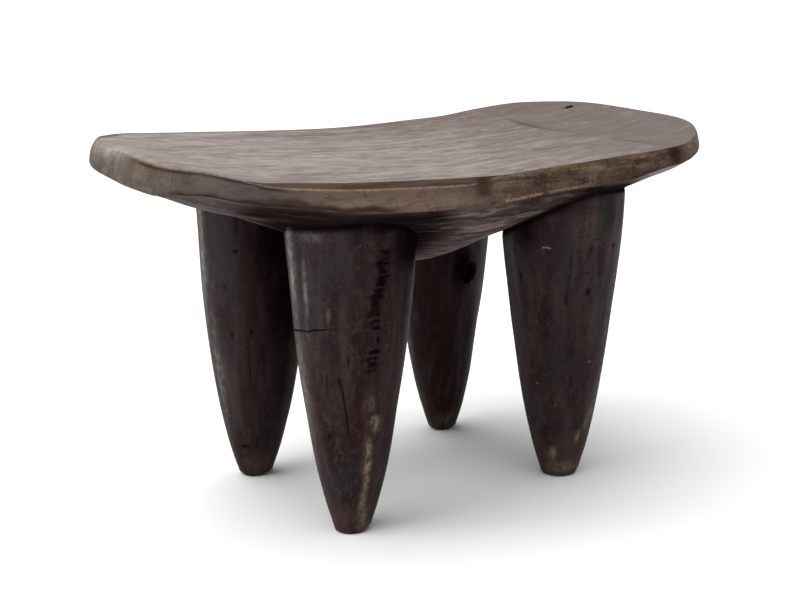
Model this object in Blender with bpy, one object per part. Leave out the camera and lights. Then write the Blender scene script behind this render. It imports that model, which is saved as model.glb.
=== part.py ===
"""Carved four-legged stool: a saddle-shaped seat on four stout round legs.

Metres, +Z up, +X along the length of the seat, +Y towards the back.
The origin is on the floor under the middle of the seat.
"""
import bpy
import math
import numpy as np

for old in list(bpy.data.objects):
    bpy.data.objects.remove(old, do_unlink=True)

# ---------------------------------------------------------------- driving dimensions
SEAT_LENGTH = 0.607            # over the widest line of the rim
SEAT_WIDTH = 0.3012            # at mid length, over the rim
SEAT_TAPER = 0.0424            # the right end is this fraction wider, the left end narrower
OUTLINE_POWER_X = 5.8          # superellipse powers: nearly straight sides, round corners
OUTLINE_POWER_Y = 3.4
ARRIS_RADIUS = 0.005           # worn rounding of the top edge
LOWER_ROUND = 0.002            # slight rounding of the lower edge of the rim
SEAT_DISH = 0.002              # how much the top is hollowed across

# heights along the length (distance from the middle, height)
TOP_FRONT = [(-0.3035, 0.3557), (-0.25, 0.3467), (-0.15, 0.3391), (-0.07, 0.3347), (0.0, 0.3326),
             (0.10, 0.3361), (0.20, 0.3394), (0.25, 0.3425), (0.3035, 0.3567)]
TOP_BACK = [(-0.3035, 0.3715), (-0.25, 0.3602), (-0.15, 0.3511), (-0.07, 0.3460), (0.0, 0.3432),
            (0.10, 0.3441), (0.15, 0.3456), (0.25, 0.3563), (0.3035, 0.3610)]
RIM_HEIGHT = [(-0.3035, 0.025), (-0.27, 0.0190), (-0.20, 0.0208), (-0.10, 0.0263), (0.0, 0.0244),
              (0.15, 0.0225), (0.20, 0.0185), (0.28, 0.0142), (0.3035, 0.0128)]

# the boat-shaped underside: a steep lip all round, then a belly that deepens to a soft keel
LIP_DEPTH = 0.013
LIP_POWER = 2.35
BELLY_DEPTH = [(-0.3035, 0.0), (-0.285, 0.005), (-0.25, 0.0095), (-0.20, 0.0190), (-0.15, 0.0325),
               (-0.10, 0.0500), (-0.05, 0.0620), (0.0, 0.0715), (0.05, 0.0620), (0.10, 0.0510),
               (0.15, 0.0340), (0.20, 0.0245), (0.25, 0.0165), (0.285, 0.0045), (0.3035, 0.0)]
BELLY_POWER = 1.4
KEEL_SOFTNESS = 0.12           # rounds the ridge along the middle of the belly

# legs: radius by height above the floor, before each leg's own scale
LEG_HEIGHTS = [0.0, 0.02, 0.06, 0.12, 0.19, 0.26, 0.33]
LEG_OVAL = 1.078               # wider along the seat than across it
LEG_REFERENCE_HEIGHT = 0.33
LEG_TOP = 0.333                # ends inside the seat before it is cut to the belly
FOOT_FLAT = 0.72               # flat of the foot as a fraction of its lowest radius
FOOT_ROUND_HEIGHT = 0.003

# name: foot centre, centre at the reference height, radii at LEG_HEIGHTS
LEGS = {
    "leg_front_left": ((-0.1215, -0.0874), (-0.1159, -0.0822),
                       (0.0155, 0.0211, 0.0309, 0.0411, 0.0499, 0.0557, 0.0607)),
    "leg_front_right": ((0.1356, -0.0830), (0.1242, -0.0877),
                        (0.0179, 0.0238, 0.0328, 0.0428, 0.0513, 0.0585, 0.0612)),
    "leg_rear_left": ((-0.1278, 0.0910), (-0.1194, 0.0895),
                      (0.0153, 0.0216, 0.0315, 0.0423, 0.0509, 0.0553, 0.0593)),
    "leg_rear_right": ((0.1139, 0.0958), (0.1071, 0.0968),
                       (0.0140, 0.0202, 0.0298, 0.0389, 0.0485, 0.0551, 0.0563)),
}
JOINT_GAP = 0.00045            # drop of each leg below the belly at the carved shoulder line

# knot hole in the front face of the rear right leg
KNOT_CENTRE = (0.1164, 0.0505, 0.190)
KNOT_HALF_SIZE = (0.0075, 0.016, 0.0105)

OUTLINE_POINTS = 72
LEG_SIDES = 36


# ---------------------------------------------------------------- helpers
def along(stations, x):
    """Smooth curve through a few (position, value) stations."""
    px = np.array([s[0] for s in stations], dtype=float)
    py = np.array([s[1] for s in stations], dtype=float)
    x = np.clip(np.asarray(x, dtype=float), px[0], px[-1])
    step = np.diff(px)
    slope = np.diff(py) / step
    tangent = np.empty_like(py)
    tangent[0] = slope[0]
    tangent[-1] = slope[-1]
    tangent[1:-1] = (slope[:-1] * step[1:] + slope[1:] * step[:-1]) / (step[:-1] + step[1:])
    i = np.clip(np.searchsorted(px, x) - 1, 0, len(step) - 1)
    t = (x - px[i]) / step[i]
    a = py[i] * (1 + 2 * t) * (1 - t) ** 2
    b = tangent[i] * step[i] * t * (1 - t) ** 2
    c = py[i + 1] * t * t * (3 - 2 * t)
    d = tangent[i + 1] * step[i] * t * t * (t - 1)
    return a + b + c + d


def outline(count, inset=0.0):
    """Evenly spaced points round the rim, moved in by the inset."""
    a = SEAT_LENGTH / 2 - inset
    b = SEAT_WIDTH / 2 - inset
    t = np.linspace(0, 2 * math.pi, 4801)
    x = a * np.sign(np.cos(t)) * np.abs(np.cos(t)) ** (2 / OUTLINE_POWER_X)
    y = b * np.sign(np.sin(t)) * np.abs(np.sin(t)) ** (2 / OUTLINE_POWER_Y)
    y = y * (1 + SEAT_TAPER * x / a)
    run = np.concatenate([[0], np.cumsum(np.hypot(np.diff(x), np.diff(y)))])
    want = np.arange(count) * run[-1] / count
    return np.stack([np.interp(want, run, x), np.interp(want, run, y)], axis=1)


def half_width(x):
    """Half width of the rim at a distance from the middle."""
    a = SEAT_LENGTH / 2
    u = np.clip(np.abs(x) / a, 0, 1)
    return SEAT_WIDTH / 2 * (1 - u ** OUTLINE_POWER_X) ** (1 / OUTLINE_POWER_Y) * (1 + SEAT_TAPER * x / a)


def top_height(x, y):
    """Height of the top surface."""
    v = y / (SEAT_WIDTH / 2)
    front = along(TOP_FRONT, x)
    back = along(TOP_BACK, x)
    return front + (back - front) * (v + 1) / 2 - SEAT_DISH * (1 - v * v)


def belly_height(x, y):
    """Height of the underside."""
    v = y / (SEAT_WIDTH / 2)
    front = along(TOP_FRONT, x)
    back = along(TOP_BACK, x)
    rim = front + (back - front) * (v + 1) / 2 - along(RIM_HEIGHT, x)
    t = np.clip(np.abs(y) / np.maximum(half_width(x), 1e-4), 0, 1)
    low = KEEL_SOFTNESS ** BELLY_POWER
    bend = (t * t + KEEL_SOFTNESS ** 2) ** (BELLY_POWER / 2) - low
    full = (1 + KEEL_SOFTNESS ** 2) ** (BELLY_POWER / 2) - low
    spread = SEAT_WIDTH / 2 * (1 + SEAT_TAPER * x / (SEAT_LENGTH / 2))
    reach = np.abs(2 * x / SEAT_LENGTH) ** OUTLINE_POWER_X + np.abs(y / spread) ** OUTLINE_POWER_Y
    lip = LIP_DEPTH * (1 - np.clip(reach, 0, 1) ** LIP_POWER)
    return rim - along(BELLY_DEPTH, x) * (1 - bend / full) - lip


def wood(name, colour, roughness):
    """A plain Principled material."""
    mat = bpy.data.materials.new(name)
    mat.use_nodes = True
    shader = mat.node_tree.nodes["Principled BSDF"]
    shader.inputs["Base Color"].default_value = (*colour, 1.0)
    shader.inputs["Roughness"].default_value = roughness
    return mat


def closed_body(name, rings, bottom, top, material):
    """Skin a stack of rings, closed by one point below and one above."""
    sides = len(rings[0])
    verts = [tuple(p) for ring in rings for p in ring]
    low = len(verts)
    verts.append(tuple(bottom))
    high = len(verts)
    verts.append(tuple(top))
    faces = []
    for k in range(len(rings) - 1):
        for i in range(sides):
            j = (i + 1) % sides
            faces.append((k * sides + i, k * sides + j, (k + 1) * sides + j, (k + 1) * sides + i))
    last = (len(rings) - 1) * sides
    for i in range(sides):
        j = (i + 1) % sides
        faces.append((low, j, i))
        faces.append((high, last + i, last + j))
    mesh = bpy.data.meshes.new(name)
    mesh.from_pydata(verts, [], faces)
    mesh.validate()
    for face in mesh.polygons:
        face.use_smooth = True
    body = bpy.data.objects.new(name, mesh)
    bpy.context.scene.collection.objects.link(body)
    if material is not None:
        mesh.materials.append(material)
    return body


def hide_tool(tool):
    """Keep a cutter out of the result."""
    tool.hide_render = True
    tool.hide_viewport = False
    tool.display_type = "WIRE"


def cut(body, tool):
    """Subtract a tool from a body."""
    mod = body.modifiers.new("cut_" + tool.name, "BOOLEAN")
    mod.operation = "DIFFERENCE"
    mod.solver = "EXACT"
    mod.object = tool


# ---------------------------------------------------------------- seat
def seat_rings(drop=0.0):
    """Rings from the middle of the belly out to the rim and back to the middle of the top."""
    rings = []
    full = outline(OUTLINE_POINTS)
    for s in (0.07, 0.16, 0.28, 0.42, 0.56, 0.68, 0.78, 0.86, 0.92, 0.96, 0.982):
        xy = full * s
        rings.append(np.column_stack([xy, belly_height(xy[:, 0], xy[:, 1]) - drop]))
    rim_top = top_height(full[:, 0], full[:, 1])
    rim_low = rim_top - along(RIM_HEIGHT, full[:, 0])
    small = outline(OUTLINE_POINTS, LOWER_ROUND)
    rings.append(np.column_stack([small, rim_low - drop]))
    rings.append(np.column_stack([full, rim_low + LOWER_ROUND - drop]))
    for k in range(5):
        angle = k / 4 * math.pi / 2
        edge = outline(OUTLINE_POINTS, ARRIS_RADIUS * (1 - math.cos(angle)))
        z = rim_top - ARRIS_RADIUS * (1 - math.sin(angle))
        rings.append(np.column_stack([edge, z - drop]))
    inner = outline(OUTLINE_POINTS, ARRIS_RADIUS)
    for s in (0.96, 0.86, 0.70, 0.50, 0.30, 0.12):
        xy = inner * s
        rings.append(np.column_stack([xy, top_height(xy[:, 0], xy[:, 1]) - drop]))
    return rings


def seat_body(name, material, drop=0.0):
    """The seat, or a lowered copy of it used as a cutter."""
    low = (0.0, 0.0, float(belly_height(0.0, 0.0)) - drop)
    high = (0.0, 0.0, float(top_height(0.0, 0.0)) - drop)
    return closed_body(name, seat_rings(drop), low, high, material)


seat_body("seat", wood("seat", (0.27, 0.21, 0.17), 0.75))
belly_cutter = seat_body("belly_cutter", None, JOINT_GAP)
hide_tool(belly_cutter)


# ---------------------------------------------------------------- legs
def leg_ring(foot, top, radii, height, scale=1.0):
    """One oval section of a leg."""
    centre_shift = height / LEG_REFERENCE_HEIGHT
    cx = foot[0] + (top[0] - foot[0]) * centre_shift
    cy = foot[1] + (top[1] - foot[1]) * centre_shift
    radius = float(along(list(zip(LEG_HEIGHTS, radii)), height)) * scale
    t = np.arange(LEG_SIDES) * 2 * math.pi / LEG_SIDES
    x = cx + radius * LEG_OVAL * np.cos(t)
    y = cy + radius / LEG_OVAL * np.sin(t)
    return np.column_stack([x, y, np.full(LEG_SIDES, height)])


def leg_body(name, foot, top, radii, material):
    """A leg from its worn foot up into the seat."""
    rings = [leg_ring(foot, top, radii, 0.0, FOOT_FLAT)]
    rings.append(leg_ring(foot, top, radii, FOOT_ROUND_HEIGHT * 0.3, 0.90))
    for height in (FOOT_ROUND_HEIGHT, 0.010, 0.020, 0.035, 0.055, 0.080, 0.110, 0.140,
                   0.170, 0.200, 0.230, 0.260, 0.290, LEG_TOP):
        rings.append(leg_ring(foot, top, radii, height))
    end = LEG_TOP / LEG_REFERENCE_HEIGHT
    apex = (foot[0] + (top[0] - foot[0]) * end, foot[1] + (top[1] - foot[1]) * end, LEG_TOP)
    body = closed_body(name, rings, (foot[0], foot[1], 0.0), apex, material)
    cut(body, belly_cutter)
    return body


LEG_COLOURS = {
    "leg_front_left": (0.036, 0.028, 0.026),
    "leg_front_right": (0.034, 0.025, 0.024),
    "leg_rear_left": (0.028, 0.020, 0.019),
    "leg_rear_right": (0.024, 0.016, 0.015),
}
legs = {}
for leg_name, (foot_xy, top_xy, leg_radii) in LEGS.items():
    stain = wood(leg_name, LEG_COLOURS[leg_name], 0.55)
    legs[leg_name] = leg_body(leg_name, foot_xy, top_xy, leg_radii, stain)

# ---------------------------------------------------------------- knot hole
knot_rings = []
for k in range(1, 8):
    latitude = -math.pi / 2 + k * math.pi / 8
    t = np.arange(20) * 2 * math.pi / 20
    ring_x = KNOT_CENTRE[0] + KNOT_HALF_SIZE[0] * math.cos(latitude) * np.cos(t)
    ring_y = KNOT_CENTRE[1] + KNOT_HALF_SIZE[1] * math.cos(latitude) * np.sin(t)
    ring_z = np.full(20, KNOT_CENTRE[2] + KNOT_HALF_SIZE[2] * math.sin(latitude))
    knot_rings.append(np.column_stack([ring_x, ring_y, ring_z]))
knot_low = (KNOT_CENTRE[0], KNOT_CENTRE[1], KNOT_CENTRE[2] - KNOT_HALF_SIZE[2])
knot_high = (KNOT_CENTRE[0], KNOT_CENTRE[1], KNOT_CENTRE[2] + KNOT_HALF_SIZE[2])
knot_cutter = closed_body("knot_cutter", knot_rings, knot_low, knot_high, None)
hide_tool(knot_cutter)
cut(legs["leg_rear_right"], knot_cutter)
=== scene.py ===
"""Looks for the carved four-legged stool: finely carved meshes, worn wood materials, studio."""
import bpy
import math
import numpy as np
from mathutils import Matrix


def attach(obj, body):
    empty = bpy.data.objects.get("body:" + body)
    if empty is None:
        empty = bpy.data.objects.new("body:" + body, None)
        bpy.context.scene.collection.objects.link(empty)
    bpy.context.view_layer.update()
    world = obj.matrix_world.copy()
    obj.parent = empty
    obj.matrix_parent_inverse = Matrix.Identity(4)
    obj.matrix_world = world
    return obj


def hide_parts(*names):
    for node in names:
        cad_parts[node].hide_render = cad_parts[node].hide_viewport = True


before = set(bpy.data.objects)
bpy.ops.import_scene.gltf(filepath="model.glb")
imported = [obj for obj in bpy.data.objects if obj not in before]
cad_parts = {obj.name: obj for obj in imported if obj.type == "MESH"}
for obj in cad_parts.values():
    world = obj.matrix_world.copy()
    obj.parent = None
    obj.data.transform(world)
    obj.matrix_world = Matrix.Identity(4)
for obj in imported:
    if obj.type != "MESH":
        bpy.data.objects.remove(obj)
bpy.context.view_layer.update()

# ---------------------------------------------------------------- seat shape, metres
SEAT_LENGTH = 0.607
SEAT_WIDTH = 0.3012
SEAT_TAPER = 0.0424
OUTLINE_POWER_X = 5.8
OUTLINE_POWER_Y = 3.4
SEAT_DISH = 0.002
# how far the rim's top edge stands inside its lower edge, facing left, front, right and back
RIM_LEAN = (0.0079, 0.0043, 0.0022, 0.0065)

# Fitted to the photo, so not round design sizes: the width, taper, powers and lean above, the rows
# of this section, the legs below, and the camera at the end of the file.
TOP_FRONT = [(-0.3035, 0.3557), (-0.28, 0.3512), (-0.25, 0.3467), (-0.20, 0.3431), (-0.15, 0.3391),
             (-0.10, 0.3364), (-0.05, 0.3339), (0.0, 0.3326), (0.05, 0.3344), (0.10, 0.3361),
             (0.15, 0.3382), (0.20, 0.3394), (0.25, 0.3425), (0.28, 0.3492), (0.3035, 0.3567)]
TOP_BACK = [(-0.3035, 0.3718), (-0.28, 0.3679), (-0.25, 0.3602), (-0.20, 0.3546), (-0.15, 0.3511),
            (-0.10, 0.3478), (-0.05, 0.3451), (0.0, 0.3432), (0.05, 0.3430), (0.10, 0.3441),
            (0.15, 0.3456), (0.20, 0.3509), (0.25, 0.3563), (0.28, 0.3584), (0.3035, 0.3612)]
RIM_HEIGHT = [(-0.3035, 0.0270), (-0.28, 0.0195), (-0.25, 0.0188), (-0.20, 0.0208), (-0.15, 0.0249),
              (-0.10, 0.0263), (0.0, 0.0244), (0.10, 0.0229), (0.15, 0.0230), (0.20, 0.0177),
              (0.25, 0.0161), (0.28, 0.0142), (0.3035, 0.0128)]
# how far the rim stands up at its front left corner, by distance across that corner
CORNER_TOP = [(-0.27, 0.0), (-0.245, 0.0018), (-0.223, 0.0018), (-0.198, 0.0028), (-0.175, 0.0034),
              (-0.158, 0.0031), (-0.1365, 0.0015), (-0.118, 0.0)]
CORNER_LOW = [(-0.212, 0.0), (-0.192, 0.0026), (-0.150, 0.0028), (-0.128, 0.0010), (-0.110, 0.0)]
# how far the back edge is rubbed down towards the left end
ROLL_BACK = [(-0.3035, 0.0042), (-0.285, 0.0042), (-0.272, 0.0038), (-0.262, 0.0022), (-0.253, 0.0009),
             (-0.245, 0.0003), (-0.222, 0.0003)]
LIP_DEPTH = 0.013
LIP_POWER = 2.35
BELLY_DEPTH = [(-0.3035, 0.0), (-0.285, 0.0050), (-0.25, 0.0095), (-0.20, 0.0190), (-0.15, 0.0318),
               (-0.10, 0.0500), (-0.05, 0.0615), (0.0, 0.0720), (0.05, 0.0615), (0.10, 0.0510),
               (0.15, 0.0335), (0.20, 0.0245), (0.25, 0.0168), (0.285, 0.0042), (0.3035, 0.0)]
BELLY_POWER = 1.4
KEEL_SOFTNESS = 0.12

# ---------------------------------------------------------------- leg shape, metres
LEG_HEIGHTS = [0.0, 0.02, 0.06, 0.12, 0.19, 0.26, 0.33]
LEG_OVAL = 1.078
LEG_REFERENCE_HEIGHT = 0.33
LEGS = {
    "leg_front_left": ((-0.1215, -0.0874), (-0.1159, -0.0822),
                       (0.0155, 0.0211, 0.0309, 0.0411, 0.0499, 0.0557, 0.0607)),
    "leg_front_right": ((0.1356, -0.0830), (0.1242, -0.0877),
                        (0.0179, 0.0238, 0.0328, 0.0428, 0.0513, 0.0585, 0.0612)),
    "leg_rear_left": ((-0.1278, 0.0910), (-0.1194, 0.0895),
                      (0.0153, 0.0216, 0.0315, 0.0423, 0.0509, 0.0553, 0.0593)),
    "leg_rear_right": ((0.1139, 0.0958), (0.1071, 0.0968),
                       (0.0140, 0.0202, 0.0298, 0.0389, 0.0485, 0.0551, 0.0563)),
}


# ---------------------------------------------------------------- colours, linear
TOP_GREY = (0.238, 0.204, 0.188)
TOP_PALE = (0.282, 0.250, 0.236)
TOP_BROWN = (0.170, 0.126, 0.104)
# darker brown for the top's right end, partly painted shade
TOP_RIGHT_BROWN_AND_SHADE = (0.118, 0.090, 0.082)
TOP_BACK_BROWN = (0.125, 0.086, 0.064)
TOP_STREAK_LIGHT = (0.380, 0.350, 0.330)
TOP_STREAK_DARK = (0.105, 0.078, 0.068)
TOP_LIGHT_GRAIN = (0.390, 0.365, 0.350)
TOP_TICK = (0.060, 0.044, 0.038)
TOP_SHADE = (0.095, 0.070, 0.062)
RIM_LEFT = (0.042, 0.032, 0.024)
RIM_MIDDLE = (0.084, 0.062, 0.062)
RIM_CENTRE = (0.140, 0.089, 0.074)
RIM_RIGHT = (0.038, 0.019, 0.012)
RIM_PALE_LEFT = (0.116, 0.088, 0.072)
RIM_PALE = (0.175, 0.125, 0.090)
RIM_DARK = (0.017, 0.010, 0.008)
EDGE_BROWN = (0.105, 0.068, 0.042)
EDGE_GOLD = (0.215, 0.150, 0.092)
BEVEL_BROWN = (0.088, 0.052, 0.036)
BEVEL_DEEP = (0.046, 0.024, 0.017)
END_GREY = (0.215, 0.190, 0.185)
RUBBED_TAN = (0.262, 0.166, 0.092)
RUBBED_GOLD = (0.330, 0.240, 0.140)
DEEP_BROWN = (0.026, 0.013, 0.009)
UNDER_BASE = (0.054, 0.034, 0.031)
UNDER_END = (0.060, 0.046, 0.042)
UNDER_DARK = (0.014, 0.008, 0.007)
UNDER_STREAK = (0.245, 0.180, 0.164)
# painted shade for the leg shoulders on the belly and under the rim's lip
UNDER_PAINTED_SHADE = (0.005, 0.003, 0.003)
HOLE_BLACK = (0.002, 0.001, 0.001)
LEG_GREEN_GREY = (0.023, 0.020, 0.018)
LEG_RED = (0.024, 0.006, 0.007)
LEG_STREAK = (0.052, 0.031, 0.031)
LEG_BLACK = (0.006, 0.003, 0.003)
LEG_MOTTLE = (0.056, 0.036, 0.034)
LEG_SLATE = (0.026, 0.025, 0.0245)
# pale grey: painted sheen on the legs' lit edges, and dust
LEG_DUST_AND_SHEEN = (0.190, 0.185, 0.165)
LEG_DEEP_RED = (0.022, 0.005, 0.005)
LEG_FOOT = (0.070, 0.043, 0.033)
LEG_GOLD = (0.300, 0.225, 0.150)
LEG_SPECK = (0.140, 0.110, 0.095)
LEG_NIGHT = (0.004, 0.002, 0.002)
LEG_PIT = (0.002, 0.001, 0.001)
LEG_SCRATCH = (0.480, 0.420, 0.360)

# the lens-shaped hole in the top near the right end, painted black for the shade inside it
HOLE_CENTRE = (0.2723, 0.0776)
HOLE_HALF_LENGTH = 0.0092
HOLE_HALF_WIDTH = 0.0038
HOLE_SPIN = 20


# ---------------------------------------------------------------- numbers
def along(stations, x):
    """Smooth curve through a few (position, value) stations."""
    px = np.array([s[0] for s in stations], dtype=float)
    py = np.array([s[1] for s in stations], dtype=float)
    x = np.clip(np.asarray(x, dtype=float), px[0], px[-1])
    step = np.diff(px)
    slope = np.diff(py) / step
    tangent = np.empty_like(py)
    tangent[0] = slope[0]
    tangent[-1] = slope[-1]
    tangent[1:-1] = (slope[:-1] * step[1:] + slope[1:] * step[:-1]) / (step[:-1] + step[1:])
    i = np.clip(np.searchsorted(px, x) - 1, 0, len(step) - 1)
    t = (x - px[i]) / step[i]
    a = py[i] * (1 + 2 * t) * (1 - t) ** 2
    b = tangent[i] * step[i] * t * (1 - t) ** 2
    c = py[i + 1] * t * t * (3 - 2 * t)
    d = tangent[i + 1] * step[i] * t * t * (t - 1)
    return a + b + c + d


def smooth(low, high, value):
    """0 below low, 1 above high, eased between."""
    t = np.clip((value - low) / (high - low), 0, 1)
    return t * t * (3 - 2 * t)


def lattice(ix, iy, iz, seed):
    """A repeatable number from 0 to 1 for each lattice point."""
    h = (ix * 374761393 + iy * 668265263 + iz * 1103515245 + seed * 974634777) & 0xFFFFFFFF
    h = ((h ^ (h >> 13)) * 1274126177) & 0xFFFFFFFF
    h = ((h ^ (h >> 15)) * 2246822519) & 0xFFFFFFFF
    return ((h >> 8) & 0xFFFF) / 65535.0


def noise(points, scale, seed):
    """Value noise from -1 to 1; scale is lattice cells per metre along X, Y and Z."""
    p = points * np.asarray(scale, dtype=float) + 511.37
    base = np.floor(p).astype(np.int64)
    f = p - base
    f = f * f * f * (f * (f * 6 - 15) + 10)
    total = np.zeros(len(points))
    for corner in range(8):
        dx, dy, dz = corner & 1, (corner >> 1) & 1, corner >> 2
        weight = np.where(dx, f[:, 0], 1 - f[:, 0])
        weight = weight * np.where(dy, f[:, 1], 1 - f[:, 1])
        weight = weight * np.where(dz, f[:, 2], 1 - f[:, 2])
        total += weight * lattice(base[:, 0] + dx, base[:, 1] + dy, base[:, 2] + dz, seed)
    return total * 2 - 1


def layered(points, scale, octaves, seed):
    """Several octaves of value noise."""
    total = np.zeros(len(points))
    size = 1.0
    weight = 0.0
    for k in range(octaves):
        total += size * noise(points, np.asarray(scale) * 2.0 ** k, seed + 17 * k)
        weight += size
        size *= 0.5
    return total / weight


def path_distance(u, v, path):
    """Distance from each point to a polyline, and how far along the polyline it is, 0 to 1."""
    best = np.full(len(u), 1e9)
    where = np.zeros(len(u))
    steps = len(path) - 1
    for k in range(steps):
        ax, ay = path[k]
        bx, by = path[k + 1]
        dx, dy = bx - ax, by - ay
        t = np.clip(((u - ax) * dx + (v - ay) * dy) / (dx * dx + dy * dy), 0, 1)
        dist = np.hypot(u - ax - t * dx, v - ay - t * dy)
        nearer = dist < best
        best = np.where(nearer, dist, best)
        where = np.where(nearer, (k + t) / steps, where)
    return best, where


# ---------------------------------------------------------------- seat surfaces
def outline(count):
    """Evenly spaced points round the rim."""
    a = SEAT_LENGTH / 2
    b = SEAT_WIDTH / 2
    t = np.linspace(0, 2 * math.pi, 20001)
    x = a * np.sign(np.cos(t)) * np.abs(np.cos(t)) ** (2 / OUTLINE_POWER_X)
    y = b * np.sign(np.sin(t)) * np.abs(np.sin(t)) ** (2 / OUTLINE_POWER_Y)
    run = np.concatenate([[0], np.cumsum(np.hypot(np.diff(x), np.diff(y)))])
    want = np.arange(count) * run[-1] / count
    return np.interp(want, run, x) / a, np.interp(want, run, y) / b


def half_width(x):
    """Half width of the rim at a distance from the middle."""
    a = SEAT_LENGTH / 2
    u = np.clip(np.abs(x) / a, 0, 1)
    return SEAT_WIDTH / 2 * (1 - u ** OUTLINE_POWER_X) ** (1 / OUTLINE_POWER_Y) * (1 + SEAT_TAPER * x / a)


def top_height(x, y):
    """Height of the top surface before carving marks."""
    v = np.clip(y / (SEAT_WIDTH / 2), -1.1, 1.1)
    front = along(TOP_FRONT, x)
    back = along(TOP_BACK, x)
    return front + (back - front) * (v + 1) / 2 - SEAT_DISH * (1 - v * v)


def belly_height(x, y):
    """Height of the underside before carving marks."""
    v = np.clip(y / (SEAT_WIDTH / 2), -1.1, 1.1)
    front = along(TOP_FRONT, x)
    back = along(TOP_BACK, x)
    rim = front + (back - front) * (v + 1) / 2 - along(RIM_HEIGHT, x)
    t = np.clip(np.abs(y) / np.maximum(half_width(x), 1e-4), 0, 1)
    low = KEEL_SOFTNESS ** BELLY_POWER
    bend = (t * t + KEEL_SOFTNESS ** 2) ** (BELLY_POWER / 2) - low
    full = (1 + KEEL_SOFTNESS ** 2) ** (BELLY_POWER / 2) - low
    spread = SEAT_WIDTH / 2 * (1 + SEAT_TAPER * x / (SEAT_LENGTH / 2))
    reach = np.abs(2 * x / SEAT_LENGTH) ** OUTLINE_POWER_X + np.abs(y / spread) ** OUTLINE_POWER_Y
    lip = LIP_DEPTH * (1 - np.clip(reach, 0, 1) ** LIP_POWER)
    return rim - along(BELLY_DEPTH, x) * (1 - bend / full) - lip


def leg_centre(name, height):
    """Centre line of a leg."""
    foot, top = LEGS[name][:2]
    t = height / LEG_REFERENCE_HEIGHT
    return foot[0] + (top[0] - foot[0]) * t, foot[1] + (top[1] - foot[1]) * t


def leg_radius(name, height):
    """Mean radius of a leg before carving marks."""
    return along(list(zip(LEG_HEIGHTS, LEGS[name][2])), height)


# ---------------------------------------------------------------- mesh helpers
def make_object(name, verts, faces, masks):
    """A smooth-shaded mesh object with one float attribute per mask."""
    mesh = bpy.data.meshes.new(name)
    mesh.vertices.add(len(verts))
    mesh.vertices.foreach_set("co", np.ascontiguousarray(verts, dtype=np.float32).ravel())
    counts = np.array([len(f) for f in faces], dtype=np.int32)
    starts = np.concatenate([[0], np.cumsum(counts)[:-1]]).astype(np.int32)
    loops = np.concatenate([np.asarray(f, dtype=np.int32) for f in faces])
    mesh.loops.add(len(loops))
    mesh.loops.foreach_set("vertex_index", loops)
    mesh.polygons.add(len(counts))
    mesh.polygons.foreach_set("loop_start", starts)
    mesh.update(calc_edges=True)
    mesh.polygons.foreach_set("use_smooth", np.ones(len(counts), dtype=bool))
    for key, values in masks.items():
        layer = mesh.attributes.new(key, "FLOAT", "POINT")
        layer.data.foreach_set("value", np.clip(values, -1, 1).astype(np.float32))
    obj = bpy.data.objects.new(name, mesh)
    bpy.context.scene.collection.objects.link(obj)
    return obj


def ring_faces(rows, columns):
    """Quads between rows of a closed ring grid, rows counted upward or inward."""
    r = np.arange(rows - 1)[:, None]
    c = np.arange(columns)[None, :]
    d = (c + 1) % columns
    quads = np.stack([r * columns + c, r * columns + d, (r + 1) * columns + d, (r + 1) * columns + c], -1)
    return quads.reshape(-1, 4)


# ---------------------------------------------------------------- seat
SEAT_COLUMNS = 900
BELLY_RINGS = 62
RIM_RINGS = 48
TOP_RINGS = 88


def chamfer_amount(x, y):
    """Where sitters have worn the front top edge to a bevel."""
    wander = 0.01 * np.sin(x * 31)
    run = smooth(-0.266, -0.205, x + 0.4 * wander) * (1 - smooth(-0.036, 0.014, x))
    return run * smooth(0.06, 0.10, -y)


def edge_roll(x, y):
    """How far the top edge is rubbed down, metres: most at the left end."""
    left = 1 - smooth(-0.301, -0.272, x)
    front = 1 - smooth(-0.06, 0.02, y)
    return (0.0003 + 0.0030 * left) * front + along(ROLL_BACK, x) * (1 - front)


def corner_lift(stations, x, y):
    """How far the front left corner of the rim stands above the even shape."""
    return along(stations, 0.83 * x - 0.56 * y) * (1 - smooth(0.0, 0.05, y))


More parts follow.
